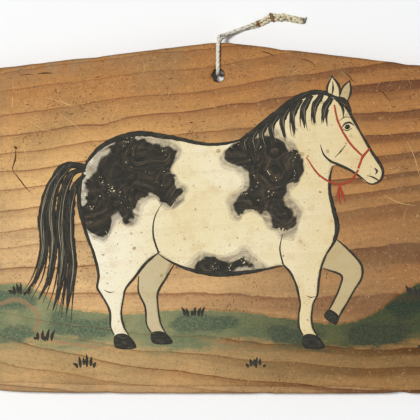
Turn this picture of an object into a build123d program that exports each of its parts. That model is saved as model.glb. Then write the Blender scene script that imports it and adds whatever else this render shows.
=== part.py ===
# Wooden votive plaque (ema): one house-shaped plank with a bored hole near its peak, strung with a
# thin limp string. One end of the string goes up the face and the other up the back. They meet
# beyond the peak, run side by side and are tied together in a knot with two short tails.
# Millimetres. The plaque lies on its back: +X to the right of the painted face, +Y towards the
# peak, +Z up out of the face. The origin is at the middle of the plank, on the surface below it.
import os
from math import asin, atan, cos, degrees, radians, sin, tan

from build123d import *

os.makedirs("parts", exist_ok=True)

# Plank
board_width = 242.0
board_height = 182.0  # from the lower edge to the rounded peak
peak_rise = 14.0  # of the roof corner above the two shoulders
board_thickness = 9.0
peak_radius = 40.0
shoulder_radius = 5.0
foot_radius = 2.0  # the two lower corners
arris_radius = 0.8  # every edge is worn soft

# String hole
hole_diameter = 6.8
hole_offset = -1.7  # from the middle line
hole_below_peak = 17.2
hole_rim_wear = 0.4

# String
string_diameter = 1.7
string_sides = 12  # flats round the string, few enough to keep the model light
strand_gap = 0.1  # between the strands where they go into the knot side by side
face_gap = 0.2  # between the string and the faces of the plank
floor_gap = 0.02
leg_bow = 0.12  # how far a leg bows sideways or up between the hole and the top edge
bend_inset = 2.5  # how far inside the top edge the string bends when its free end swings
bend_gap = 0.4  # between a leg on the plank and its free run, for that bend
arc_share = 0.45  # of the shorter run beside a bend

# Knot: a doubled slanting turn and one crossing turn, pressed into the two strands
knot_length = 7.8
knot_x = 30.1
knot_beyond_peak = 12.9
knot_turn = 2.0  # degrees from +X
wrap_diameter = 1.4
wrap_sides = 8
wrap_pitch = 1.5
wrap_slant = 24.0  # degrees
cross_wrap_shift = 2.2
knot_lead = 1.4  # how far the strands run straight into and out of the knot

half_width = board_width / 2
half_height = board_height / 2
shoulder_y = half_height - peak_rise
roof_slope = atan(peak_rise / half_width)
roof_corner_y = half_height + peak_radius * (1 / cos(roof_slope) - 1)
hole_y = half_height - hole_below_peak
string_radius = string_diameter / 2
half_pitch = (string_diameter + strand_gap) / 2
floor_z = string_radius + floor_gap
face_z = board_thickness + face_gap + string_radius
mid_leg_y = hole_y + hole_below_peak / 2
knot_z = string_radius + wrap_diameter / 2 + floor_gap

# The plank leans a little: it rests on its lower back edge and on the string behind the hole.
lean_reach = hole_y + hole_diameter / 2 + half_height
lean = degrees(asin((string_diameter + floor_gap + face_gap) / lean_reach))
hole_foot_z = (floor_z - (hole_y + half_height) * sin(radians(lean))) / cos(radians(lean))
seat = Pos(0, -half_height, 0) * Rot(lean, 0, 0) * Pos(0, half_height, 0)

# The knot's own frame: X runs along the strands, Y across them.
knot_seat = Pos(knot_x, half_height + knot_beyond_peak, knot_z) * Rot(0, 0, knot_turn)


def on_board(x, y, z):
    """A point of the plank, whose back is at z = 0, as a point of the leaning part."""
    return (seat * Pos(x, y, z)).position


def beyond_peak(x, reach, z):
    """A point on or above the table, at a reach past the peak."""
    return Vector(x, half_height + reach, z)


def at_knot(x, y):
    """A point at the knot's middle height."""
    return (knot_seat * Pos(x, y, 0)).position


def bend_radii(points):
    """The arc at each inner point is as large as the shorter run beside it allows."""
    radii = []
    for before, here, after in zip(points, points[1:], points[2:]):
        run_in = here - before
        run_out = after - here
        half_turn = radians(run_in.get_angle(run_out)) / 2
        radii.append(arc_share * min(run_in.length, run_out.length) / tan(half_turn))
    return radii


def string_tube(name, points):
    """A round string along straight runs joined by tangent arcs."""
    points = [Vector(p) for p in points]
    radii = bend_radii(points)
    path = FilletPolyline(*points, radius=radii)
    section = Plane(origin=path @ 0, z_dir=path % 0) * RegularPolygon(string_radius, string_sides)
    tube = sweep(section, path=path)
    plain_volume = section.area * path.length
    print(f"{name}: length {path.length:.1f} mm, volume {tube.volume / plain_volume:.4f} of section x length")
    print("   bend radii " + " ".join(f"{r:.1f}" for r in radii))
    return tube


def make_board():
    outline = FilletPolyline(
        (-half_width, -half_height),
        (half_width, -half_height),
        (half_width, shoulder_y),
        (0, roof_corner_y),
        (-half_width, shoulder_y),
        radius=[foot_radius, foot_radius, shoulder_radius, peak_radius, shoulder_radius],
        close=True,
    )
    plank = extrude(make_face(outline), board_thickness)
    rims = plank.faces().filter_by(Axis.Z).edges()
    plank = fillet(rims, arris_radius)
    bore = Pos(hole_offset, hole_y, board_thickness / 2) * Cylinder(hole_diameter / 2, 2 * board_thickness)
    plank = plank - bore
    bore_rims = plank.edges().filter_by(GeomType.CIRCLE).filter_by(
        lambda e: abs(e.radius - hole_diameter / 2) < 1e-6
    )
    plank = chamfer(bore_rims, hole_rim_wear)
    return seat * plank


def front_route():
    """From the middle of the hole up the face, over the peak and down to the table, to the knot."""
    return [
        on_board(hole_offset, hole_y, board_thickness / 2),
        on_board(hole_offset, hole_y, face_z),
        on_board(hole_offset, mid_leg_y, face_z + leg_bow),
        on_board(hole_offset + 0.5, half_height + 1.6, face_z),
        beyond_peak(1.0, 4.4, 9.2),
        beyond_peak(4.8, 5.9, 6.6),
        beyond_peak(9.4, 7.2, 4.3),
        beyond_peak(13.6, 9.1, 2.4),
        beyond_peak(17.8, 11.0, 1.2),
        beyond_peak(21.6, 12.5, 1.2),
        at_knot(-knot_length / 2 - knot_lead, half_pitch),
        at_knot(-knot_length / 2, half_pitch),
    ]


def back_route():
    """From the middle of the hole down and along the table behind the plank, to the knot."""
    return [
        on_board(hole_offset, hole_y, board_thickness / 2),
        on_board(hole_offset, hole_y, hole_foot_z),
        Vector(hole_offset - leg_bow, mid_leg_y, floor_z),
        beyond_peak(-1.0, 2.4, floor_z),
        beyond_peak(3.2, 5.0, floor_z),
        beyond_peak(9.0, 6.6, floor_z),
        beyond_peak(14.6, 7.8, floor_z),
        beyond_peak(19.6, 9.0, floor_z),
        beyond_peak(22.8, 10.6, 1.2),
        at_knot(-knot_length / 2 - knot_lead, -half_pitch),
        at_knot(-knot_length / 2, -half_pitch),
    ]


def tail_route(side, bends):
    """Out of the knot on one side of its middle line and down to the table."""
    start = knot_length / 2
    return [
        at_knot(start, side * half_pitch),
        at_knot(start + knot_lead, side * half_pitch),
        *[beyond_peak(*bend) for bend in bends],
    ]


def cut_at_bend(strand):
    """The leg that lies along the plank, and the free run that swings past the top edge."""
    bend_y = half_height - bend_inset
    leg = split(strand, bisect_by=Plane.XZ.offset(bend_gap / 2 - bend_y), keep=Keep.TOP)
    run = split(strand, bisect_by=Plane.XZ.offset(-bend_gap / 2 - bend_y), keep=Keep.BOTTOM)
    return leg, run


def make_knot():
    strands = extrude(
        Plane.YZ * SlotCenterToCenter(2 * half_pitch, string_diameter),
        knot_length / 2,
        both=True,
    )
    ring_path = Plane.YZ * Wire(SlotCenterToCenter(2 * half_pitch, string_diameter).edges())
    section = Plane(origin=ring_path @ 0, z_dir=ring_path % 0) * RegularPolygon(wrap_diameter / 2, wrap_sides)
    turn = sweep(section, path=ring_path)
    knot = strands
    for shift, slant in (
        (-wrap_pitch, wrap_slant),
        (0, wrap_slant),
        (cross_wrap_shift, -wrap_slant),
    ):
        knot = knot + Pos(shift, 0, 0) * Rot(0, 0, slant) * turn
    return knot_seat * knot


front_leg, front_run = cut_at_bend(string_tube("front strand", front_route()))
back_leg, back_run = cut_at_bend(string_tube("back strand", back_route()))
tail_front = string_tube("front tail", tail_route(1, [(38.4, 13.2, floor_z + 0.2), (42.3, 12.5, floor_z)]))
tail_back = string_tube("back tail", tail_route(-1, [(38.2, 11.0, floor_z + 0.2), (42.9, 10.4, floor_z)]))

nodes = {
    "board": make_board(),
    "front_leg": front_leg,
    "front_run": front_run,
    "back_leg": back_leg,
    "back_run": back_run,
    "end_knot": make_knot(),
    "front_tail": tail_front,
    "back_tail": tail_back,
}
for name, shape in nodes.items():
    export_step(shape, f"parts/{name}.step")
print(f"lean {lean:.3f} degrees")
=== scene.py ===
import math
from functools import partial

import bpy
import numpy as np
from mathutils import Matrix, Vector
from mathutils.geometry import delaunay_2d_cdt


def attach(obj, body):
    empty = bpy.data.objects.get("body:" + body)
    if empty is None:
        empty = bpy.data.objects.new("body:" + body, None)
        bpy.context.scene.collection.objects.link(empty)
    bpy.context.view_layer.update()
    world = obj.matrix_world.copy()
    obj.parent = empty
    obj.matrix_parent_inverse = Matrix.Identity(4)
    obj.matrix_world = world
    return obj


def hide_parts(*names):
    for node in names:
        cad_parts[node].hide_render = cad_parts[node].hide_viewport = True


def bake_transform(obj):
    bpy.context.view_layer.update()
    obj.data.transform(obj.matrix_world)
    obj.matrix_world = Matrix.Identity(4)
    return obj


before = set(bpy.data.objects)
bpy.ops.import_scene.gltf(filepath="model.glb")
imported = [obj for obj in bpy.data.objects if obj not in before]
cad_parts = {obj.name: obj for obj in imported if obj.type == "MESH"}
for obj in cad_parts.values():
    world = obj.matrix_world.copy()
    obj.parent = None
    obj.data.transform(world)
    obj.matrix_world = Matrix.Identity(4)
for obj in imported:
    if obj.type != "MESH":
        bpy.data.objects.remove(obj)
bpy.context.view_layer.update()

mm = 0.001
rng = np.random.default_rng(17)


# Small tools

def linear(hexText):
    parts = [int(hexText[i:i + 2], 16) / 255 for i in (1, 3, 5)]
    return tuple(c / 12.92 if c <= 0.04045 else ((c + 0.055) / 1.055) ** 2.4 for c in parts) + (1.0,)


def addNode(tree, kind, *values, stops=None, take=None, **settings):
    # adds a node and gives back the output to take, or else the first one in use;
    # kind may name an operation after a space, as in "Math ADD";
    # the values go to the inputs in use, in their order, and a dictionary gives them by name
    kind, *operation = kind.split()
    node = tree.nodes.new("ShaderNode" + kind)
    if operation:
        node.operation = operation[0]
    for name, value in settings.items():
        setattr(node, name, value)
    if values and isinstance(values[0], dict):
        pairs = [(node.inputs[key], value) for key, value in values[0].items()]
    else:
        pairs = zip([s for s in node.inputs if s.enabled], values)
    for socket, value in pairs:
        if isinstance(value, bpy.types.NodeSocket):
            tree.links.new(value, socket)
        else:
            socket.default_value = linear(value) if isinstance(value, str) else value
    if stops:
        ramp = node.color_ramp.elements
        while len(ramp) < len(stops):
            ramp.new(0.5)
        for element, (place, colour) in zip(ramp, stops):
            element.position = place
            element.color = linear(colour) if isinstance(colour, str) else (colour, colour, colour, 1.0)
    if take == "all":
        return node.outputs
    return node.outputs[take] if take else next((s for s in node.outputs if s.enabled), None)


def placeOn(add):
    # the place on the part in millimetres
    place = add("TexCoord", take="Object")
    return add("VectorMath SCALE", place, 1 / mm)


def toned(add, colour, noise, amount, stops):
    # darkens a colour by a ramp of a noise
    tone = add("ValToRGB", noise, stops=stops)
    return add("Mix", amount, colour, tone, data_type="RGBA", blend_type="MULTIPLY")


def stained(add, colour, field, low, high, most, tint):
    # lays a tint over a colour: none of it where the field is at low, most where it is at high
    amount = add("MapRange", field, low, high, 0.0, most)
    return add("Mix", amount, colour, tint, data_type="RGBA")


def smoothPath(points, closed=False, step=0.7):
    # rounds given points, as a loaded brush does; extra columns such as width go along
    p = np.array(points, float)
    n = len(p)
    out = []
    for i in range(n if closed else n - 1):
        b, c = p[i], p[(i + 1) % n]
        a = p[(i - 1) % n] if closed or i > 0 else 2 * b - c
        d = p[(i + 2) % n] if closed or i + 2 < n else 2 * c - b
        t1 = max(np.linalg.norm((b - a)[:2]), 1e-6) ** 0.5
        t2 = t1 + max(np.linalg.norm((c - b)[:2]), 1e-6) ** 0.5
        t3 = t2 + max(np.linalg.norm((d - c)[:2]), 1e-6) ** 0.5
        count = max(2, int(round(np.linalg.norm((c - b)[:2]) / step)))
        for k in range(count):
            t = t1 + (t2 - t1) * k / count
            q1 = a + (b - a) * t / t1
            q2 = b + (c - b) * (t - t1) / (t2 - t1)
            q3 = c + (d - c) * (t - t2) / (t3 - t2)
            r1 = q1 + (q2 - q1) * t / t2
            r2 = q2 + (q3 - q2) * (t - t1) / (t3 - t1)
            out.append(r1 + (r2 - r1) * (t - t1) / (t2 - t1))
    if not closed:
        out.append(p[-1])
    return np.array(out)


def distanceTo(points, path, closed=True):
    ends = np.roll(path, -1, axis=0) if closed else path[1:]
    starts = path if closed else path[:-1]
    best = np.full(len(points), 1e9)
    for a, b in zip(starts, ends):
        along = b - a
        share = np.clip(((points - a) @ along) / max(along @ along, 1e-12), 0, 1)
        best = np.minimum(best, np.linalg.norm(points - a - share[:, None] * along, axis=1))
    return best


def insideOf(points, path):
    hits = np.zeros(len(points), bool)
    for a, b in zip(path, np.roll(path, -1, axis=0)):
        cross = (a[1] > points[:, 1]) != (b[1] > points[:, 1])
        with np.errstate(divide="ignore", invalid="ignore"):
            edge = (b[0] - a[0]) * (points[:, 1] - a[1]) / (b[1] - a[1]) + a[0]
        hits ^= cross & (points[:, 0] < edge)
    return hits


def ripple(length, waves, size, seed):
    # a smooth closed run of unevenness along a rim of that many points
    source = np.random.default_rng(seed)
    turn = np.linspace(0, 2 * np.pi, length, endpoint=False)
    total = 0
    for k in waves:
        total = total + source.normal() / (1 + 0.15 * k) * np.sin(k * turn + source.uniform(0, 6.3))
    return size * total / max(np.abs(total).max(), 1e-9)


# The plank's place: it leans on the string behind its hole, as the solids do

plank = {
    "width": 242.0, "height": 182.0, "peakRise": 14.0, "thick": 9.0, "peakRound": 40.0,
    "shoulderRound": 5.0, "arris": 0.8, "lean": 0.654, "hole": (-1.7, 73.8), "holeRadius": 3.4,
    "rimWear": 0.4}
halfWidth, halfHeight = plank["width"] / 2, plank["height"] / 2
roofFall = plank["peakRise"] / halfWidth  # of the roof edge, for each millimetre from the middle
plankPlace = Matrix.Rotation(math.radians(plank["lean"]), 4, "X")
plankPlace = Matrix.Translation((0, -halfHeight, 0)) @ plankPlace @ Matrix.Translation((0, halfHeight, 0))


def onPlank(points):
    m = np.array(plankPlace)
    return np.asarray(points, float) @ m[:3, :3].T + m[:3, 3]


def newPiece(name, points, faces, fields=None, smooth=True):
    # points are in millimetres in the part's frame, fields are numbers per point for the materials
    mesh = bpy.data.meshes.new(name)
    mesh.from_pydata([tuple(p) for p in np.asarray(points) * mm], [],
                     [tuple(int(i) for i in f) for f in faces])
    mesh.update()
    for field, values in (fields or {}).items():
        data = mesh.attributes.new(field, "FLOAT", "POINT").data
        data.foreach_set("value", np.asarray(values, np.float32))
    if smooth:
        mesh.shade_smooth()
    piece = bpy.data.objects.new(name, mesh)
    bpy.context.scene.collection.objects.link(piece)
    return piece


def fillOutline(outline, spacing, holes=()):
    # triangles inside a closed line, with an even spread of inner points
    loops = [np.asarray(outline)[:, :2], *[np.asarray(h)[:, :2] for h in holes]]
    low, high = loops[0].min(0), loops[0].max(0)
    rowStep = 0.87 * spacing  # rows of near equal triangles
    gx, gy = np.meshgrid(np.arange(low[0], high[0], spacing), np.arange(low[1], high[1], rowStep))
    gx[1::2] += spacing / 2
    inner = np.c_[gx.ravel(), gy.ravel()]
    clear = 0.6 * spacing  # from the outline to the nearest inner point
    keep = insideOf(inner, loops[0]) & (distanceTo(inner, loops[0]) > clear)
    for loop in loops[1:]:
        keep &= ~insideOf(inner, loop) & (distanceTo(inner, loop) > clear)
    points = np.vstack([*loops, inner[keep]])
    edges, at = [], 0
    for loop in loops:
        n = len(loop)
        edges += [(at + i, at + (i + 1) % n) for i in range(n)]
        at += n
    found = delaunay_2d_cdt([Vector(p) for p in points], edges, [], 0, 1e-7, True)
    flat = np.array([tuple(v) for v in found[0]])
    faces = [list(f) for f in found[2]]
    middles = np.array([flat[f].mean(0) for f in faces])
    good = insideOf(middles, loops[0])
    for loop in loops[1:]:
        good &= ~insideOf(middles, loop)
    order = [found[3][i][0] if found[3][i] else -1 for i in range(len(flat))]
    assert order == list(range(len(points)))
    return flat, [f for f, ok in zip(faces, good) if ok]


def lookingUp(flat, face):
    # the same corners, counted so that the face looks up
    a, b, c = flat[face[0]], flat[face[1]], flat[face[2]]
    up = (b[0] - a[0]) * (c[1] - a[1]) - (b[1] - a[1]) * (c[0] - a[0]) > 0
    return face if up else face[::-1]


# Camera, light and table

view = {"middle": (-5.7, 4.1), "faceHeight": 10.0, "field": 217.0, "distance": 980.0}
cameraData = bpy.data.cameras.new("copyStand")
cameraData.sensor_width = 36.0
cameraData.lens = 36.0 * view["distance"] / view["field"]
camera = bpy.data.objects.new("copyStand", cameraData)
camera.location = Vector((*view["middle"], view["faceHeight"] + view["distance"])) * mm
bpy.context.scene.collection.objects.link(camera)
bpy.context.scene.camera = camera
bpy.context.scene.view_settings.view_transform = "Standard"

lamps = {
    "windowSide": {"place": (-0.9, 0.3, 2.5), "size": 0.42, "power": 58.2, "tint": "#FFFDFA"},
    "paleWall": {"place": (0.6, -0.6, 1.2), "size": 1.4, "power": 2.0, "tint": "#F6F9FF"}}
for name, lamp in lamps.items():
    data = bpy.data.lights.new(name, "AREA")
    data.energy, data.size, data.color = lamp["power"], lamp["size"], linear(lamp["tint"])[:3]
    body = bpy.data.objects.new(name, data)
    body.location = lamp["place"]
    body.rotation_mode = "QUATERNION"
    body.rotation_quaternion = (-Vector(lamp["place"])).to_track_quat("-Z", "Y")
    bpy.context.scene.collection.objects.link(body)

room = {"seen": "#F8FAF9", "glow": 0.23}
world = bpy.data.worlds.new("paleRoom")
bpy.context.scene.world = world
world.use_nodes = True
world.node_tree.nodes.clear()
add = partial(addNode, world.node_tree)
rays = add("LightPath", take="all")
seen = add("Math MAXIMUM", rays["Is Camera Ray"], rays["Is Glossy Ray"])
seen = add("Math MAXIMUM", seen, rays["Is Transmission Ray"])
glow = add("Background", {"Color": (1, 1, 1, 1), "Strength": room["glow"]})
backdrop = add("Background", {"Color": room["seen"], "Strength": 1.0})
mixed = add("MixShader", seen, glow, backdrop)
add("OutputWorld", {"Surface": mixed})

tableCorners = [(x, y, 0) for x, y in ((-2500, -2500), (2500, -2500), (2500, 2500), (-2500, 2500))]
table = newPiece("table", tableCorners, [(0, 1, 2, 3)], smooth=False)
paper = bpy.data.materials.new("matteWhitePaper")  # flat and even, only the shadows show on it
paper.use_nodes = True
sheet = paper.node_tree.nodes["Principled BSDF"]
sheet.inputs["Base Color"].default_value = linear("#F3F5F7")
sheet.inputs["Roughness"].default_value = 0.9
sheet.inputs["Specular IOR Level"].default_value = 0.1
table.data.materials.append(paper)
print("camera, lamps and table are set")


# Growth rings: one field for the plank and for the paint that lets the wood show through.
# heights are where the ring lines meet the left end, rise is how far each has climbed at the right end

rings = {
    "heights": [
        105, 95, 84.3, 74.7, 65.3, 52.9, 42.5, 33.9, 24.8, 15.5, 4.7, -6.7, -15.0, -25.9, -37.2, -49.1,
        -55.0, -60.9, -74.8, -85.8, -96.7, -108],
    "rise": [
        26, 27, 28, 28, 28, 29, 30, 22.5, 19.6, 18, 18.6, 23, 23, 12, -3, -18, -22, -28, -19, -12, -8, -6],
    "left": -114.0, "span": 217.0, "throughTilt": 0.75}


def ringAt(points):
    p = np.asarray(points, float)
    heights, rise = np.array(rings["heights"])[::-1], np.array(rings["rise"])[::-1]
    index = np.arange(len(heights))[::-1].astype(float)
    share = (p[:, 0] - rings["left"]) / rings["span"]
    y = p[:, 1] + rings["throughTilt"] * (p[:, 2] - plank["thick"])
    y = y + 0.7 * np.sin(p[:, 0] / 21 + y / 40) + 0.45 * np.sin(p[:, 0] / 9.5 + 1.3 - y / 15)
    y = y + 2.2 * np.exp(-((p[:, 0] + 60) / 9) ** 2 - ((y - 46) / 6) ** 2)  # a small burr
    early = 1 - (1 - np.clip(share, 0, 1)) ** 2  # the falling rings bend at the left, then run level
    climbed = rise * np.where(rise < 0, early[:, None], share[:, None])
    return np.array([np.interp(v, heights + c, index) for v, c in zip(y, climbed)])


# String: two strands from the hole, one up the face and one up the back, tied together past the peak

# radius is before the grooves cut into it, and with them the string measures its diameter
string = {
    "diameter": 1.7, "radius": 0.98, "groove": 0.3, "pitch": 5.2, "sides": 18, "step": 0.28,
    "frontLength": 0.0732, "backLength": 0.0687, "overTable": 0.02, "wobble": 0.045, "wobbleStep": 0.9,
    "grooveWidth": 0.38, "endSize": 0.72, "endTaper": 1.5}
knot = {"place": (29.6, 104.5, 1.6), "halfPitch": 0.9}
knotPlace = Matrix.Translation(knot["place"])


def plankPoint(x, y, z):
    return tuple(onPlank([(x, y, z)])[0])


def knotPoint(x, y, z=0.0):
    return tuple(knotPlace @ Vector((x, y, z)))


holeX, holeY = plank["hole"]
floorZ, faceZ = 0.87, 10.05
frontRoute = [
    plankPoint(holeX, 74.9, 4.5), plankPoint(holeX, 74.9, faceZ), plankPoint(holeX, 82.4, faceZ + 1.05),
    plankPoint(-1.6, 90.4, faceZ + 0.7), plankPoint(-1.3, 92.6, faceZ), (-0.7, 94.0, 10.4),
    (1.8, 94.9, 6.8), (6.1, 96.6, 3.8), (10.4, 98.3, 2.9), (14.7, 99.8, 2.8), (18.8, 101.6, 2.3),
    (22.2, 103.2, 1.9), knotPoint(-4.0, 0.8), knotPoint(-2.6, 0.9), knotPoint(2.6, 0.9),
    knotPoint(4.0, 0.8), (38.2, 104.3, 1.05), (43.0, 103.6, 0.95)]
backRoute = [
    plankPoint(holeX, 74.9, 4.5), plankPoint(holeX, 74.9, -1.01), (holeX - 0.12, 82.4, floorZ),
    (-1.4, 91.4, floorZ), (-0.4, 93.6, floorZ), (2.1, 95.0, floorZ), (6.1, 96.8, floorZ),
    (10.5, 98.3, floorZ), (15.0, 99.1, floorZ), (19.4, 100.3, floorZ), (23.0, 101.8, 1.3),
    knotPoint(-4.0, -0.8), knotPoint(-2.6, -0.9), knotPoint(2.6, -0.9), knotPoint(4.0, -0.8),
    (38.4, 102.6, 1.05), (43.4, 101.9, 0.95)]


def lineOf(route, closed=False):
    # points read from a smooth NURBS line through the route
    curve = bpy.data.curves.new("route", "CURVE")
    curve.dimensions = "3D"
    curve.resolution_u = 16
    spline = curve.splines.new("NURBS")
    spline.points.add(len(route) - 1)
    for point, place in zip(spline.points, route):
        point.co = (*[c * mm for c in place], 1.0)
    spline.order_u = 3
    spline.use_cyclic_u = closed
    spline.use_endpoint_u = not closed
    carrier = bpy.data.objects.new("route", curve)
    bpy.context.scene.collection.objects.link(carrier)
    bpy.context.view_layer.update()
    mesh = bpy.data.meshes.new_from_object(carrier)
    points = np.array([v.co for v in mesh.vertices]) / mm
    bpy.data.objects.remove(carrier)
    bpy.data.meshes.remove(mesh)
    bpy.data.curves.remove(curve)
    return points


def gather(parts):
    # several closed shells as one piece
    points, faces, fields = [], [], {}
    for shell in parts:
        faces += [tuple(len(points) + i for i in f) for f in shell[1]]
        points += list(shell[0])
        for field, values in shell[2].items():
            fields.setdefault(field, []).extend(values)
    return np.array(points), faces, fields


def reachAlong(line):
    return np.r_[0, np.cumsum(np.linalg.norm(np.diff(line, axis=0), axis=1))]


def evenly(points, step, closed=False):
    # points at even distances along a line, and how far along it each is
    if closed:
        points = np.vstack([points, points[:1]])
    reach = reachAlong(points)
    count = max(3, int(round(reach[-1] / step)))
    at = np.linspace(0, reach[-1], count + 1)
    if closed:
        at = at[:-1]
    return np.stack([np.interp(at, reach, points[:, k]) for k in range(3)], 1), at


def frames(line, closed=False):
    # a pair of cross directions carried along the line without twisting
    heads = np.roll(line, -1, axis=0) - np.roll(line, 1, axis=0)
    if not closed:
        heads[0], heads[-1] = line[1] - line[0], line[-1] - line[-2]
    heads /= np.linalg.norm(heads, axis=1)[:, None]
    side = np.cross(heads[0], (0.31, 0.2, 0.93))  # from any direction off the line
    sides = []
    for h in heads:
        side = side - (side @ h) * h
        side = side / np.linalg.norm(side)
        sides.append(side)
    sides = np.array(sides)
    return sides, np.cross(heads, sides)


def twistedTube(line, at, radius, groove, pitch, sides, seed, closed=False):
    # a soft twisted string: two grooves wind round it; returns points, faces and groove depth
    left, up = frames(line, closed)
    source = np.random.default_rng(seed)
    spots = np.arange(0, at[-1] + 3, string["wobbleStep"])
    wobble = np.interp(at, spots, source.normal(0, 1, len(spots)))
    twist = 2 * np.pi * at / pitch + source.uniform(0, 6.28)
    if closed:
        twist = twist * round(at[-1] / pitch) / (at[-1] / pitch)  # whole turns, so that the ends meet
        wobble = wobble * 0.4
    else:
        twist = twist + 0.5 * np.interp(at, spots[::3], source.normal(0, 1, len(spots[::3])))
    points, faces, sunk = [], [], []
    n = len(line)
    size = radius * (1 + string["wobble"] * wobble)
    if not closed:
        toEnd = np.clip((at[-1] - at) / string["endTaper"], 0, 1)
        size = size * (string["endSize"] + (1 - string["endSize"]) * toEnd)
    for k in range(n):
        for s in range(sides):
            a = 2 * np.pi * s / sides
            off = (a - twist[k] + np.pi / 2) % np.pi - np.pi / 2
            dip = math.exp(-(off / string["grooveWidth"]) ** 2)
            reach = size[k] * (1 - groove * dip)
            points.append(line[k] + reach * (math.cos(a) * left[k] + math.sin(a) * up[k]))
            sunk.append(dip)
    for k in range(n if closed else n - 1):
        for s in range(sides):
            a, b = k * sides + s, k * sides + (s + 1) % sides
            c, d = (k + 1) % n * sides + (s + 1) % sides, (k + 1) % n * sides + s
            faces.append((a, b, c, d))
    if not closed:
        faces += [tuple(reversed(range(sides))), tuple((n - 1) * sides + s for s in range(sides))]
    return np.array(points), faces, np.array(sunk)


cords = {}
for name, route, seed in (("frontStrand", frontRoute, 3), ("backStrand", backRoute, 8)):
    line, at = evenly(lineOf(route), string["step"])
    shape = [string[key] for key in ("radius", "groove", "pitch", "sides")]
    points, faces, sunk = twistedTube(line, at, *shape, seed)
    points[:, 2] = np.maximum(points[:, 2], string["overTable"])
    cords[name] = (newPiece(name, points, faces, {"sunk": sunk}), line)
    print(name, "is", round(at[-1], 1), "mm long")

# Knot: three turns laid round both strands, as the solid has them; the first is stained brown
# places are shift along the strands, slant, radius of the string, radius of the turn
turns = {
    "groove": 0.22, "pitch": 3.6, "sides": 14, "points": 16, "step": 0.25,
    "places": [(-3.0, 24.0, 1.15, 0.5), (-0.3, 42.0, 0.82, 0.82), (2.2, -26.0, 0.76, 0.82)]}
parts = []
for seed, (shift, slant, radius, reach) in enumerate(turns["places"]):
    tilt = Matrix.Translation((shift, 0, 0)) @ Matrix.Rotation(math.radians(slant), 4, "Z")
    ring = []
    for k in range(turns["points"]):
        a = 2 * math.pi * k / turns["points"]
        aside = math.copysign(knot["halfPitch"], math.cos(a)) * min(1, abs(math.cos(a)) * 3)
        point = Vector((0.0, reach * math.cos(a) + aside, reach * math.sin(a)))
        ring.append(tuple(knotPlace @ tilt @ point))
    line, at = evenly(lineOf(ring, True), turns["step"], True)
    shape = [turns[key] for key in ("groove", "pitch", "sides")]
    points, faces, sunk = twistedTube(line, at, radius, *shape, 20 + seed, True)
    parts.append((points, faces, {"sunk": list(sunk), "brown": [float(seed == 0)] * len(points)}))
points, faces, fields = gather(parts)
points[:, 2] = np.maximum(points[:, 2], string["overTable"])
knotTurns = newPiece("knotTurns", points, faces, fields)

# Cut ends: short loose fibres, and one lock that bends up past them
wisps = {
    "sides": 5, "count": 8, "length": (0.5, 1.3), "radius": 0.07, "locks": 6, "lockRadius": 0.16,
    "lock": [(42.4, 102.1, 0.9), (43.7, 102.2, 0.9), (43.9, 103.4, 0.8), (44.7, 104.7, 0.6)]}


def fibre(line, size):
    left, up = frames(line)
    points, faces = [], []
    n, last = wisps["sides"], len(line) - 1
    around = np.linspace(0, 2 * np.pi, n, endpoint=False)
    for j, (p, a, b) in enumerate(zip(line, left, up)):
        slim = size * (1 - 0.6 * j / last)
        points += [p + slim * (math.cos(t) * a + math.sin(t) * b) for t in around]
    for j in range(last):
        low, high = n * j, n * j + n
        faces += [(low + k, low + (k + 1) % n, high + (k + 1) % n, high + k) for k in range(n)]
    faces += [tuple(reversed(range(n))), tuple(n * last + k for k in range(n))]
    return np.array(points), faces, {"sunk": [0.0] * len(points)}


loose = []
for end in (cords["frontStrand"][1], cords["backStrand"][1]):
    tip, head = end[-1], end[-1] - end[-4]
    head = head / np.linalg.norm(head)
    for k in range(wisps["count"]):
        start = tip - 0.4 * head + np.array([0, rng.normal(0, 0.4), rng.normal(0, 0.2)])
        reach = 0.4 + rng.uniform(*wisps["length"])
        steps = np.linspace(0, 1, 6)[:, None]
        line = start + reach * (head * steps + np.array([0, rng.normal(0.1, 0.35), 0.1]) * steps ** 2)
        line[:, 2] = np.maximum(line[:, 2], 0.16)
        loose.append(fibre(line, wisps["radius"]))
for k in range(wisps["locks"]):
    spread = rng.normal(0, 0.17, 3)
    route = [np.array(p) + spread * (1 - 0.1 * i) for i, p in enumerate(wisps["lock"])]
    line = evenly(lineOf(route), 0.3)[0]
    line = line[:len(line) - rng.integers(0, 3)]
    loose.append(fibre(line, wisps["lockRadius"]))
points, faces, fields = gather(loose)
points[:, 2] = np.maximum(points[:, 2], string["overTable"])
frayedEnds = newPiece("frayedEnds", points, faces, fields)
print("string is laid")


# Plank: worn outline, softened arrises, hand-bored hole

# footBand is where the wear of the lower edge starts and the reach that it grows over;
# liftedEnd and lowEdge are its depth and reach at the left, dents are place, length and depth
wear = {
    "unevenness": 0.28, "step": 1.2, "inner": 2.6, "footRound": 4.0, "roundSteps": 8,
    "liftedEnd": (1.9, 11.0), "lowEdge": (0.7, 45.0), "footBand": (-60.0, 31.0),
    "dents": [
        ((92.0, -91.0), 7.0, 0.9), ((96.0, 80.2), 6.0, 0.5), ((-64.0, 83.8), 9.0, 0.35),
        ((31.0, 87.6), 5.0, 0.4), ((121.0, -20.0), 9.0, 0.6), ((-121.0, 40.0), 12.0, 0.5),
        ((20.0, -91.0), 6.0, 0.3), ((-60.0, -91.0), 8.0, 0.25)]}


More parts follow.
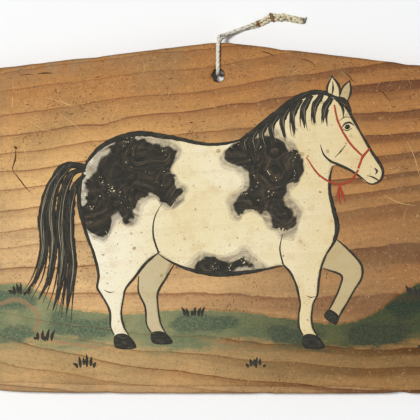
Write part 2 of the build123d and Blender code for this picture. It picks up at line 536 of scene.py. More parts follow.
def plankOutline():
    slope = math.atan(roofFall)
    top = halfHeight + plank["peakRound"] * (1 / math.cos(slope) - 1)
    corners = [(-halfWidth, -halfHeight, wear["footRound"]), (halfWidth, -halfHeight, wear["footRound"]),
               (halfWidth, halfHeight - plank["peakRise"], plank["shoulderRound"]),
               (0, top, plank["peakRound"]),
               (-halfWidth, halfHeight - plank["peakRise"], plank["shoulderRound"])]
    line = []
    for i, (x, y, radius) in enumerate(corners):
        here = np.array([x, y])
        back = np.array(corners[i - 1][:2]) - here
        ahead = np.array(corners[(i + 1) % 5][:2]) - here
        back, ahead = back / np.linalg.norm(back), ahead / np.linalg.norm(ahead)
        half = math.acos(np.clip(back @ ahead, -1, 1)) / 2
        middle = here + (back + ahead) / np.linalg.norm(back + ahead) * radius / math.sin(half)
        x, y = here + back * radius / math.tan(half) - middle  # where the round starts
        for k in range(wear["roundSteps"] + 1):
            a = (math.pi - 2 * half) * k / wear["roundSteps"]
            spun = (x * math.cos(a) - y * math.sin(a), x * math.sin(a) + y * math.cos(a))
            line.append(middle + spun)
    flat = np.array([(*p, 0.0) for p in line])
    return evenly(flat, wear["step"], True)[0][:, :2]


rim = plankOutline()
nearFoot = np.clip((wear["footBand"][0] - rim[:, 1]) / wear["footBand"][1], 0, 1)
for depth, reach in (wear["liftedEnd"], wear["lowEdge"]):  # the lower edge is worn away towards the left
    rim[:, 1] += nearFoot * depth * np.exp(-(rim[:, 0] + halfWidth) / reach)
tangent = np.roll(rim, -1, axis=0) - np.roll(rim, 1, axis=0)
tangent /= np.linalg.norm(tangent, axis=1)[:, None]
inward = np.c_[-tangent[:, 1], tangent[:, 0]]
worn = 0.12 + np.abs(ripple(len(rim), range(5, 90), wear["unevenness"], 5))
for place, length, depth in wear["dents"]:
    worn = worn + depth * np.exp(-(np.linalg.norm(rim - place, axis=1) / length) ** 2 * 2)
soft = plank["arris"] * (1.0 + ripple(len(rim), range(3, 40), 0.3, 6)) + 0.35 * worn
holeShape = {
    "sides": 48, "turn": [0, 45, 90, 112, 150, 180, 211, 246, 286, 320, 360],
    "reach": [3.4, 3.45, 3.4, 3.45, 2.8, 3.5, 2.75, 3.55, 3.4, 3.55, 3.4]}
holeSides = holeShape["sides"]
holeTurn = np.linspace(0, 2 * np.pi, holeSides, endpoint=False)
holeRound = np.interp(np.degrees(holeTurn), holeShape["turn"], holeShape["reach"])
holeRound = holeRound + ripple(holeSides, (7, 9, 11), 0.05, 9)
rimSide = 1 + 0.7 * np.cos(holeTurn + 0.3)  # rubbed more on the right, where the string is pulled


def holeLoop(grow):
    radius = holeRound + grow * rimSide
    return np.c_[holeX + radius * np.cos(holeTurn), holeY + radius * np.sin(holeTurn)]


def bands(starts, count):
    # rows of faces between loops of that many points
    faces = []
    for low, high in zip(starts, starts[1:]):
        for i in range(count):
            j = (i + 1) % count
            faces.append((low + i, high + i, high + j, low + j))
    return faces


thick = plank["thick"]
# loops down the rim: share of the arris left, side of the plank, distance from the edge for the dirt and
# painted shade
rimLevels = [
    (0.3, "face", 0.4), (0.0, "face", 0.5), (0.0, "middle", 4.0), (0.0, "back", 0.5), (0.3, "back", 0.4)]
# loops down the hole: growth of its radius, height
holeLevels = [
    (plank["rimWear"] + 0.25, thick), (plank["rimWear"] * 0.4, thick - 0.22), (0.0, thick - 0.8),
    (0.0, 0.6), (0.3, 0.0)]
faceLoop = rim + inward * (worn + soft)[:, None]
plankPoints, plankFaces, plankEdge = [], [], []
loopStarts, holeStarts = [], []
frontFlat, frontFaces = fillOutline(faceLoop, wear["inner"], [holeLoop(holeLevels[0][0])])
backFlat, backFaces = fillOutline(faceLoop, wear["inner"] * 1.6, [holeLoop(holeLevels[-1][0])])
for flat, z, faces, flip in ((frontFlat, thick, frontFaces, False), (backFlat, 0.0, backFaces, True)):
    base = len(plankPoints)
    loopStarts.append(base)
    holeStarts.append(base + len(rim))
    plankPoints += [(x, y, z) for x, y in flat]
    plankEdge += list(distanceTo(flat, rim) + 0.2)
    for f in faces:
        f = lookingUp(flat, f)
        plankFaces.append([base + i for i in (f[::-1] if flip else f)])
levels = [loopStarts[0]]
for inset, side, edge in rimLevels:
    levels.append(len(plankPoints))
    loop = rim + inward * (worn + soft * inset)[:, None]
    drop = soft * (1 - math.sqrt(1 - (1 - inset) ** 2))  # the arris is a quarter round
    heights = {"face": thick - drop, "middle": np.full(len(rim), thick / 2), "back": drop}[side]
    plankPoints += [(x, y, h) for (x, y), h in zip(loop, heights)]
    plankEdge += [edge] * len(rim)
plankFaces += bands([*levels, loopStarts[1]], len(rim))
levels = [holeStarts[0]]
for grow, z in holeLevels[1:-1]:
    levels.append(len(plankPoints))
    plankPoints += [(x, y, z) for x, y in holeLoop(grow)]
    # painted shade: the upper half of the hole's wall counts as close to an edge, so it darkens
    plankEdge += [0.3 if z > thick / 2 else 2.0] * holeSides
plankFaces += [(f[0], *f[:0:-1]) for f in bands([*levels, holeStarts[1]], holeSides)]  # these look inward
plankPoints = np.array(plankPoints)
plankEdge = np.array(plankEdge)
# dirt gathers round the hole, and painted shade darkens its wall
fromHole = np.linalg.norm(plankPoints[:, :2] - plank["hole"], axis=1) - plank["holeRadius"]
plankEdge = np.minimum(plankEdge, np.maximum(fromHole, 0.0) * 2.5 + 0.8)
board = newPiece("plankWood", onPlank(plankPoints), plankFaces,
                 {"ring": ringAt(plankPoints), "edge": plankEdge})
print("plank has", len(plankPoints), "points")


# Picture: a standing piebald horse in shell white and ink on green ground, the old subject of such plaques.
# Points are millimetres on the face from the plank's middle.

horse = {
    "body": [
        (57.6, 63.4), (63.6, 58.4), (68.6, 50.4), (73.4, 41.8), (78.6, 33), (82.2, 27.6), (83.6, 23.4),
        (82.2, 19.6), (78.2, 17.6), (74.4, 18.8), (70, 22.8), (65.6, 25.4), (60.4, 27.6), (57.4, 26.8),
        (56, 22), (56, 13), (58, 4), (59.8, -4), (58.8, -11), (54.8, -18), (51.4, -26), (50, -35.5),
        (49.6, -40), (47.6, -44.4), (46.8, -52), (47.6, -57), (50, -61.2), (53.2, -66.4), (43, -66.4),
        (42.6, -60.6), (40.4, -56.8), (40.2, -50), (41, -44), (40, -39), (37.4, -31), (32, -24.4),
        (18, -27.4), (-2, -28.8), (-20, -25.6), (-33, -18.4), (-39.8, -24), (-45.4, -31.5), (-49.6, -37),
        (-50.6, -41.5), (-51.6, -49), (-50.2, -56.2), (-47.4, -61), (-44.2, -66.4), (-54.6, -66.4),
        (-55, -60.8), (-57, -56.6), (-57.4, -48), (-61.6, -39.6), (-63.8, -36), (-63, -30), (-65.2, -20),
        (-70, -6), (-73.2, 10), (-70.8, 25), (-61.6, 37), (-45, 43.4), (-25, 41.4), (-6, 38), (8, 39.8),
        (20, 46.2), (32, 56), (45, 63.8)],
    "farFore": [
        (50, -9), (58.4, -10), (66, -16.5), (72.6, -24.5), (72.8, -30.5), (69, -37), (65, -44),
        (62.6, -48), (59, -54.6), (53.6, -50.6), (56.4, -46.4), (58.6, -42.2), (61.6, -35), (62.4, -30),
        (52, -25.5), (44, -22)],
    "farHind": [
        (-22, -12), (-25.4, -22), (-28.4, -30), (-32.6, -38), (-32.6, -46), (-31, -55), (-28.4, -59.6),
        (-25.4, -64), (-35.4, -64), (-36, -59.4), (-38.4, -55), (-39.2, -46), (-43, -38), (-42, -28),
        (-40, -14)],
    "ear": [(55.6, 61.4), (54.6, 67), (57.2, 73.4), (60.8, 68.4), (61.2, 61.8)],
    "farEar": [(60.6, 61.8), (62.4, 67), (66.4, 71), (67, 65.6), (65, 59)]}
inkPatches = {
    "rump": [
        (-72, 22), (-62, 36.6), (-46, 43.4), (-29, 42), (-19, 35), (-25, 25), (-17, 14), (-26, 4),
        (-37, 9), (-45, -3), (-54, -3), (-61, -13), (-69.6, -7), (-74, 9)],
    "shoulder": [
        (6, 39), (20, 47), (30, 46), (39, 36), (43, 24), (37, 13), (42, 2), (36, -11), (25, -7), (16, 4),
        (9, -2), (2, 8), (10, 19), (0, 30)],
    "belly": [(-19, -26), (-9, -17.4), (2, -19.8), (11, -14), (18, -19), (25, -26), (0, -31)]}
# reach is from the middle to either end of the strip
ground = {
    "reach": 118.6,
    "strip": [
        (-118.4, -36), (-110, -33), (-101, -33.5), (-92, -38), (-84, -43.5), (-70, -47), (-48, -48.5),
        (-20, -46.4), (10, -47.6), (40, -51.6), (62, -53.6), (78, -49), (90, -40), (101, -33), (110, -29),
        (118.4, -28.6), (118.4, -58), (118.4, -86), (60, -87), (0, -87), (-60, -86.4), (-100, -85),
        (-118.4, -83), (-118.4, -60)],
    "dabs": [
        [(-118, -39), (-108, -36.5), (-99, -38), (-95, -43.5), (-101, -48), (-112, -47), (-118, -50)],
        [(-86, -49), (-70, -52), (-58, -51), (-49, -55.5), (-58, -61), (-74, -63), (-88, -58)],
        [(-112, -57), (-102, -55), (-96, -59), (-104, -64), (-114, -63)],
        [(-24, -51), (-4, -50), (10, -52.5), (5, -57), (-12, -59.5), (-26, -57)],
        [(84, -46), (96, -38.5), (107, -34), (118, -33), (118, -47), (104, -48.5), (92, -52)],
        [(68, -55), (84, -54), (98, -56), (94, -64), (80, -67), (66, -63)],
        [(24, -56), (40, -57), (54, -60), (46, -66), (28, -65)],
        [(104, -54), (118, -52), (118, -63), (108, -62)]],
    "bareLine": [
        (-118, -46), (-106, -42), (-98, -46), (-94, -52), (-96, -58), (-88, -63), (-70, -66), (-52, -69)]}
# filmGrid is the distance between the points of a film, layers are heights over the wood
filmGrid = {"ground": 1.7, "white": 1.25, "ink": 1.6}
layers = {"wash": 0.05, "far": 0.08, "body": 0.13, "ear": 0.15, "stroke": 0.2, "detail": 0.24, "sunk": 0.03}


def paintFilm(outline, height, spacing):
    # a closed thin layer of paint, sunk a little into the wood
    flat, faces = fillOutline(outline, spacing)
    n, m = len(flat), len(outline)
    points = [(x, y, thick + height) for x, y in flat] + [(x, y, thick - layers["sunk"]) for x, y in flat]
    out = []
    for f in faces:
        f = lookingUp(flat, f)
        out += [tuple(f), tuple(n + i for i in reversed(f))]
    area = sum(a[0] * b[1] - b[0] * a[1] for a, b in zip(outline, np.roll(outline, -1, axis=0)))
    for i in range(m):
        j = (i + 1) % m
        out.append((i, n + i, n + j, j) if area > 0 else (i, j, n + j, n + i))
    return np.array(points), out


def depthIn(points, outlines):
    # how deep each point lies in one of the outlines, less than 0 outside them
    deep = np.full(len(points), -9.0)
    for outline in outlines:
        away = distanceTo(points[:, :2], outline)
        deep = np.maximum(deep, np.where(insideOf(points[:, :2], outline), away, -away))
    return deep


def painted(name, parts):
    # strokes or films on the face, gathered as one piece
    points, faces, fields = gather(parts)
    return newPiece(name, onPlank(points), faces, fields)


brush = {"ragged": 0.08, "raggedStep": 1.5, "shoulder": 0.8, "crown": 1.06}


def brushStroke(path, widths, height, seed=0, step=0.6):
    # one stroke: the width swells and thins, and its rims are a little ragged
    line = smoothPath(path, False, step)[:, :2]
    reach = reachAlong(line)
    share = reach / reach[-1]
    width = np.interp(share, np.linspace(0, 1, len(widths)), widths)
    source = np.random.default_rng(seed)
    knots = np.arange(0, reach[-1] + 3, brush["raggedStep"])
    rag = [1 + np.interp(reach, knots, source.normal(0, brush["ragged"], len(knots))) for _ in (0, 1)]
    head = np.gradient(line, axis=0)
    head /= np.maximum(np.linalg.norm(head, axis=1), 1e-9)[:, None]
    left = np.c_[-head[:, 1], head[:, 0]]
    points, across, along = [], [], []
    for k in range(len(line)):
        for side in (-1.0, -brush["shoulder"], 0.0, brush["shoulder"], 1.0):  # five points across
            half = width[k] / 2 * (rag[0][k] if side < 0 else rag[1][k])
            lift = -layers["sunk"] if abs(side) == 1.0 else height * (1.0 if side else brush["crown"])
            points.append((*(line[k] + left[k] * half * side), thick + lift))
            across.append(side)
            along.append(reach[k])
    faces = []
    for k in range(len(line) - 1):
        a, b = 5 * k, 5 * k + 5
        faces += [(a + s, b + s, b + s + 1, a + s + 1)[::-1] for s in range(4)]
        faces.append((a, a + 4, b + 4, b)[::-1])
    faces += [(0, 1, 2, 3, 4)[::-1], tuple(5 * len(line) - 5 + s for s in range(5))]
    return np.array(points), faces, {"along": along, "across": across}


# Green ground, with one line left bare
strip = smoothPath(ground["strip"], True, 1.5)
strip[:, 0] = np.clip(strip[:, 0], -ground["reach"], ground["reach"])
points, faces = paintFilm(strip, layers["wash"], filmGrid["ground"])
bare = distanceTo(points[:, :2], smoothPath(ground["bareLine"], False, 1.5), False)
greenGround = newPiece("greenGround", onPlank(points), faces, {
    "ring": ringAt(points), "edge": distanceTo(points[:, :2], rim),
    "inset": distanceTo(points[:, :2], strip),
    "bare": bare, "deep": depthIn(points, [smoothPath(dab, True, 1.2) for dab in ground["dabs"]])})

# Shell white: the body, the two far legs and the ears
white = []
patchLines = [smoothPath(p, True, 1.2) for p in inkPatches.values()]
# outline, layer, share of shade
films = [
    ("farFore", "far", 1.0), ("farHind", "far", 1.0), ("farEar", "far", 1.0), ("body", "body", 0.0),
    ("ear", "ear", 0.15)]
for name, height, shade in films:
    outline = smoothPath(horse[name], True, 0.9)
    points, faces = paintFilm(outline, layers[height], filmGrid["white"])
    depth = depthIn(points, patchLines if name == "body" else [])
    white.append((points, faces, {"ink": list(np.clip(depth, -9, 12)), "shade": [shade] * len(points),
                                  "ring": list(ringAt(points))}))
shellWhite = painted("shellWhite", white)
print("ground and body are painted")

# Ink lines, thick and thin: the way of each line and its widths along it
lines = [
    ([(62, 60), (65.8, 55), (69.6, 48.4), (74.4, 40), (79, 32.4), (82.4, 27.2), (83.6, 23.4), (82.2, 19.6),
      (78.2, 17.6), (74.8, 18.6)], [0.5, 1.3, 1.6, 1.2, 1.5, 1.7, 2.0, 1.5, 1.2, 0.6]),
    ([(75.6, 18.4), (70, 22.8), (65.6, 25.4), (60.4, 27.8), (56.6, 29.4), (53, 33), (51.2, 38)],
     [0.5, 1.1, 1.4, 1.6, 1.5, 1.1, 0.3]),
    ([(57.8, 27), (56.2, 21), (56.2, 13), (58.2, 4), (59.9, -4), (58.8, -11), (55, -18)],
     [0.4, 1.6, 2.0, 2.5, 2.8, 2.2, 0.9]),
    ([(56.4, -14.6), (52.2, -24), (50.4, -33), (49.8, -39.4), (47.6, -44.4), (46.8, -52), (47.6, -57),
      (49.8, -61)], [0.5, 1.5, 1.2, 1.5, 1.0, 1.0, 1.3, 0.7]),
    ([(31.4, -23), (36, -28.4), (39, -35), (40.2, -40), (41, -44.4), (40.2, -50), (40.4, -56.6),
      (42.4, -60.4)], [0.6, 1.4, 1.2, 1.4, 1.0, 1.0, 1.4, 0.6]),
    ([(32.6, -24.4), (26, -25.8), (14, -27.8), (-2, -28.9), (-16, -26.6), (-27, -22), (-33, -18)],
     [0.5, 1.6, 2.6, 3.0, 2.4, 1.4, 0.4]),
    ([(-31.4, -17.2), (-38.6, -23), (-45, -31), (-49.4, -36.8), (-50.6, -42), (-51.6, -49), (-50.2, -56.2),
      (-47.6, -60.6)], [0.5, 1.6, 1.7, 1.4, 1.0, 1.0, 1.3, 0.6]),
    ([(-71.6, 23), (-73.3, 10), (-70.2, -6), (-65.6, -19), (-63.2, -30), (-63.9, -36), (-61.6, -40),
      (-57.5, -48), (-57, -56.4), (-55.2, -60.4)], [0.9, 2.4, 2.8, 2.2, 1.6, 1.8, 1.4, 1.1, 1.4, 0.6]),
    ([(-72, 21), (-69.6, 28), (-61.6, 37), (-45, 43.4), (-25, 41.4), (-6, 38), (8, 39.8), (16, 43.4)],
     [0.7, 2.2, 3.0, 3.2, 2.7, 2.0, 1.6, 0.5]),
    ([(-32.4, -17.6), (-35, -9), (-34.4, 0), (-30.4, 8)], [1.2, 1.1, 0.8, 0.2]),
    ([(32, -23.6), (30.4, -16), (31.8, -8)], [1.1, 0.9, 0.2]),
    ([(55.6, 62), (54.8, 67), (57.2, 73.4)], [0.6, 1.3, 0.8]),
    ([(57.2, 73.4), (60.8, 68.2), (61.2, 62.4)], [0.8, 1.5, 0.6]),
    ([(57.6, 70.6), (57.8, 66.6), (57.2, 63.4)], [0.4, 1.3, 0.5]),
    ([(61.4, 63.4), (63, 67.6), (66.4, 71)], [0.5, 1.0, 0.7]),
    ([(66.4, 71), (67, 65.6), (65, 59.4)], [0.7, 1.2, 0.6]),
    ([(62.2, 46.4), (64, 48.8), (66.4, 49.4), (68.8, 47.8)], [0.3, 1.1, 1.2, 0.4]),
    ([(62.6, 46.2), (65, 45.2), (67.8, 46.6)], [0.3, 0.7, 0.3]),
    ([(61, 50.2), (64, 52.2), (67.4, 51.8)], [0.2, 0.6, 0.2]),
    ([(79.2, 26), (80.6, 24.2), (79.6, 22.6)], [0.5, 1.4, 0.3]),
    ([(81.2, 19.6), (77.8, 21.4), (75.2, 22)], [0.9, 0.9, 0.2]),
    ([(64.6, 38), (61, 33.6), (58.8, 31.4)], [0.2, 0.8, 0.3]),
    ([(44, -40), (46.6, -41), (48.6, -40.4)], [0.2, 0.7, 0.3]),
    ([(-60.6, -37), (-57.6, -38.4), (-55, -38)], [0.2, 0.7, 0.2]),
    ([(59.6, -10.8), (66, -16.5), (72.6, -24.5), (72.8, -30.5), (69, -37), (65, -44), (62.6, -48),
      (59.6, -54)], [0.5, 1.2, 1.3, 1.4, 1.1, 1.0, 1.2, 0.6]),
    ([(54, -51), (56.4, -46.4), (58.6, -42.2), (61.6, -35), (62.4, -30), (53, -26)],
     [0.5, 1.0, 1.0, 1.1, 1.2, 0.4]),
    ([(-24.4, -24), (-28.4, -31), (-32.6, -38.4), (-32.6, -46), (-31, -55), (-28.6, -59.4)],
     [0.5, 1.2, 1.2, 0.9, 1.1, 0.6]),
    ([(-36, -59.4), (-38.4, -55), (-39.2, -46), (-42.6, -38), (-42.6, -30)], [0.6, 1.0, 1.2, 1.0, 0.5])]
strokes = [brushStroke(p, w, layers["stroke"], i) for i, (p, w) in enumerate(lines)]
filled = [
    [(42.6, -60.8), (43, -66.8), (53.6, -66.8), (50, -61.2), (46, -59.8)],
    [(-55, -60.8), (-54.6, -66.8), (-43.8, -66.8), (-47.4, -61), (-51, -59.6)],
    [(-36, -59.4), (-35.4, -64.4), (-25, -64.4), (-28.4, -59.6), (-32, -58.4)],
    [(59.2, -55), (53.2, -50.6), (55.8, -47.2), (61, -51)],
    [(63.8, 46.6), (64.6, 48.2), (66.2, 48.2), (66.6, 46.8), (65.2, 45.8)]]
for outline in filled:  # the hooves and the eye
    outline = smoothPath(outline, True, 0.6)
    points, faces = paintFilm(outline, layers["stroke"], filmGrid["ink"])
    along = list(points[:, 0] * 1.3 + points[:, 1])  # the brush went across each of them at a slant
    strokes.append((points, faces, {"along": along, "across": list(np.sin(points[:, 1]))}))
inkLines = painted("inkLines", strokes)

# Mane and tail: locks of ink, with a few hairs drawn back in white
hairWidths = {
    "tail": [2.2, 4.6, 5.2, 5.4, 4.6, 3.2, 0.4], "tailTip": [0.6, 1.1, 1.2, 0.8, 0.15],
    "mane": [3.4, 4.4, 3.0, 0.3], "maneTip": [0.7, 0.8, 0.12], "tailWhite": [0.1, 0.35, 0.4, 0.3, 0.1],
    "maneWhite": [0.1, 0.36, 0.1]}
tailLocks = [
    [(-70, 27), (-78, 27), (-85, 18), (-88, 3), (-86.6, -13), (-88.6, -30), (-94, -42)],
    [(-70, 25), (-77, 23), (-81.4, 12), (-83, -4), (-81.6, -20), (-83.6, -36), (-87, -48)],
    [(-70.4, 22.6), (-75.6, 16), (-78, 4), (-78, -10), (-76.6, -24), (-78.4, -38), (-80, -50)],
    [(-69.6, 26.4), (-80, 26.8), (-88, 16), (-92, 0), (-91.6, -16), (-95, -30), (-100.4, -38)]]
maneLocks = [
    ((57, 62.4), (53.4, 56), (52.6, 49)), ((52, 64), (48, 56.4), (48.4, 48.4)),
    ((46.4, 63.6), (42.4, 55.4), (43.2, 46.4)), ((41, 61.6), (37, 53.4), (38.2, 43.6)),
    ((35.6, 58.4), (31.6, 50.4), (33.2, 40.6)), ((30, 54.6), (26, 46.8), (28, 37)),
    ((24.6, 50.6), (20.8, 43.6), (22.6, 34.4)), ((19.6, 47), (16, 41), (17.4, 33)),
    ((14.6, 43.4), (11.6, 38.8), (12.6, 33))]
hair, whiteHairs = [], []
for i, lock in enumerate(tailLocks):
    hair.append(brushStroke(lock, hairWidths["tail"], layers["stroke"] - 0.01 * i, 60 + i))
    for k in range(4):
        shift = rng.normal(0, 1.1, 2) + (k - 1.5) * np.array([1.5, 0.5])
        tip = []
        for j, (x, y) in enumerate(lock[2:], 2):
            tip.append((x + shift[0] * j / 5, y + shift[1] * j / 5 - 1.2 * k * (j == 6)))
        hair.append(brushStroke(tip, hairWidths["tailTip"], layers["stroke"] - 0.02, 80 + 10 * i + k))
    for k in range(3):
        shift = rng.normal(0, 1.2, 2)
        stretch = [(x + shift[0], y + shift[1] * 0.3) for x, y in lock[1 + k:5 + min(k, 1)]]
        whiteHairs.append(brushStroke(stretch, hairWidths["tailWhite"], layers["detail"], 130 + 10 * i + k))
for i, lock in enumerate(maneLocks):
    hair.append(brushStroke(list(lock), hairWidths["mane"], layers["stroke"] - 0.006 * i, 200 + i))
    (x0, y0), (x1, y1), (x2, y2) = lock
    for k in range(3):
        s = rng.normal(0, 0.8)
        middle = ((x1 + x2) / 2 + s - 0.5, (y1 + y2) / 2 - 0.5)
        tip = [(x1 + s, y1), middle, (x2 + 1.2 * s, y2 - rng.uniform(0, 2.6))]
        hair.append(brushStroke(tip, hairWidths["maneTip"], layers["stroke"] - 0.03, 240 + 10 * i + k))
    stretch = [(x0 - 0.6, y0 - 1.6), (x1 + 0.6, y1 + 0.4), (x2 + 0.4, y2 + 2)]
    whiteHairs.append(brushStroke(stretch, hairWidths["maneWhite"], layers["detail"], 400 + i))
crestAndForelock = [
    ([(59.6, 62.4), (50, 65), (40, 62), (28, 53.4), (17, 45), (9.5, 40.4)], [1.4, 3.2, 4.0, 3.8, 3.0, 0.8]),
    ([(58.4, 62.4), (63.6, 60.6), (66.6, 55.6), (67.4, 51.4)], [2.0, 2.8, 2.0, 0.3]),
    ([(58.8, 62), (62, 58.6), (63.2, 55), (63, 51.8)], [1.6, 2.2, 1.5, 0.3])]
hair += [brushStroke(p, w, layers["stroke"], 300 + i) for i, (p, w) in enumerate(crestAndForelock)]
maneAndTail = painted("maneAndTail", hair)
whiteHair = painted("whiteHair", whiteHairs)

# Red halter and rein
halter = [
    ([(76.8, 36), (73.2, 31.6), (70.8, 25.6)], [1.3, 1.6, 1.3]),
    ([(73.4, 31.6), (66.4, 39), (60.4, 50), (58.4, 58.6)], [1.2, 1.3, 1.3, 1.0]),
    ([(70.9, 25), (67, 19.4), (60.6, 17.4), (51, 22), (44, 31.4)], [1.3, 1.1, 1.2, 1.1, 0.7]),
    ([(61, 17.4), (60.6, 12), (61.6, 7)], [0.8, 1.7, 0.4]),
    ([(61.2, 17.6), (62.6, 12.4), (64.2, 8)], [0.8, 1.6, 0.4])]
redHalter = painted("redHalter",
                    [brushStroke(p, w, layers["detail"], 500 + i) for i, (p, w) in enumerate(halter)])

# Grass tufts: short upright dabs
tufts = {
    "places": [(-104, -39), (-14, -50), (101, -39), (-70, -76), (18, -76), (108, -66), (-92, -62)],
    "blades": 6, "apart": 1.7, "tall": (3.0, 7.5), "widths": [0.7, 1.7, 1.9, 1.3, 0.3]}
grass = []
for gx, gy in tufts["places"]:
    for k in range(tufts["blades"]):
        away = k - (tufts["blades"] - 1) / 2
        x = gx + away * tufts["apart"] + rng.normal(0, 0.3)
        y = gy - rng.uniform(0, 1.6)
        tall = rng.uniform(*tufts["tall"]) - 0.7 * abs(away)
        blade = [(x, y), (x + away * 0.1, y + tall * 0.5), (x + away * 0.6 + rng.normal(0, 0.3), y + tall)]
        grass.append(brushStroke(blade, tufts["widths"], layers["stroke"] - 0.06, int(rng.integers(1e6))))
grassTufts = painted("grassTufts", grass)
print("ink, halter and grass are painted")


# Scratches and small drying cracks in the bare wood
marks = {
    "pale": 60, "dark": 26, "inset": 3.0, "checkBox": (-116, 116, 46, 84), "lift": 0.012, "step": 0.9,
    "clearOfHole": 8.0, "clearOfRoof": 4.0, "leans": [-0.75, -0.6, 1.2, 0.4, -1.3],
    "wide": [0.08, 0.3, 0.34, 0.26, 0.06]}
pale, dark = [], []


def nearHole(x, y):
    return math.hypot(x - holeX, y - holeY) < marks["clearOfHole"]


longScratches = [
    [(-91.4, 62.6), (-83, 60), (-75.5, 57)], [(-83.1, 53.6), (-76, 48.6), (-70, 43.2)],
    [(-53.3, 57.7), (-55.6, 53), (-58.2, 48.8)], [(-107.7, 63.3), (-107.6, 60), (-108.4, 56.4)],
    [(-84, 61.6), (-79, 58.8), (-74, 57.8)], [(-99, 50), (-92, 46), (-86, 44.6)],
    [(96, 40), (100, 31), (103, 20)], [(84, 12), (92, 8), (101, 6.4)]]
for i, path in enumerate(longScratches):
    pale.append(brushStroke(path, marks["wide"], marks["lift"], 640 + i, marks["step"]))
# boxes of wood without paint: left, right, low, high
freeWood = [
    (-118, -76, 40, 86), (-76, -20, 42, 86), (-20, 50, 40, 84), (76, 118, 20, 76), (-118, -72, -30, 40),
    (86, 118, -28, 20)]
while len(pale) < marks["pale"]:
    x0, x1, y0, y1 = freeWood[rng.integers(len(freeWood))]
    x, y = rng.uniform(x0, x1), rng.uniform(y0, y1)
    if y > halfHeight - abs(x) * roofFall - marks["clearOfRoof"] or nearHole(x, y):
        continue
    lean = rng.choice(marks["leans"]) + rng.normal(0, 0.3)
    length = rng.gamma(2.0, 2.2)
    bow = rng.normal(0, 0.6)
    run, rise = math.cos(lean) * length, math.sin(lean) * length
    path = [(x, y), (x + run / 2 + bow, y + rise / 2), (x + run, y + rise)]
    if max(abs(p[0]) for p in path) > halfWidth - marks["inset"]:
        continue
    if max(p[1] + abs(p[0]) * roofFall for p in path) > halfHeight - marks["inset"]:
        continue
    widths = [0.05, rng.uniform(0.14, 0.36), 0.05]
    pale.append(brushStroke(path, widths, marks["lift"], int(rng.integers(1e6)), marks["step"]))
# way and greatest width of each crack
cracks = [
    ([(20.5, 86.4), (23, 85.6), (25.5, 84.8), (27.8, 83.2)], 0.7),
    ([(40.7, 82.2), (44, 81.6), (47, 80.2), (49, 78)], 0.65),
    ([(63.5, 75.3), (66.3, 73.3), (67.7, 71.2), (69.8, 69.8)], 0.65),
    ([(79.5, 67), (83.6, 64.9), (85.6, 62.4), (87.8, 60.5)], 0.6),
    ([(-103.6, 73.6), (-100, 74.2), (-96.6, 74.3)], 0.55),
    ([(-95, 74.5), (-91, 74.9), (-86.4, 74.8)], 0.9),
    ([(-106, 36.2), (-106.2, 31), (-107.6, 25.6), (-107, 23.2)], 1.0),
    ([(-107.2, 24), (-104.4, 20.4), (-101, 16), (-98.6, 13.2)], 0.8),
    ([(-106.9, 37.3), (-106, 36.4), (-105, 35.7)], 1.5), ([(97, -66.4), (99.6, -68.8), (104, -69.4)], 0.7)]
for i, (path, wide) in enumerate(cracks):
    dark.append(brushStroke(path, [0.2 * wide, 0.8 * wide, wide, 0.7 * wide, 0.15 * wide], marks["lift"],
                            700 + i))
x0, x1, y0, y1 = marks["checkBox"]
for k in range(marks["dark"]):
    x, y = rng.uniform(x0, x1), rng.uniform(y0, y1)
    # not on the ears
    if y > halfHeight - 5 - abs(x) * roofFall or nearHole(x, y) or (46 < x < 70 and y < 76):
        continue
    length = rng.uniform(0.8, 3.2)
    path = [(x, y), (x + length / 2, y + rng.normal(0, 0.15)), (x + length, y + 0.12 * length)]
    dark.append(brushStroke(path, [0.15, rng.uniform(0.3, 0.7), 0.15], marks["lift"], 740 + k))
paleScratches = painted("paleScratches", pale)
darkChecks = painted("darkChecks", dark)
print("scratches are drawn")


# Materials

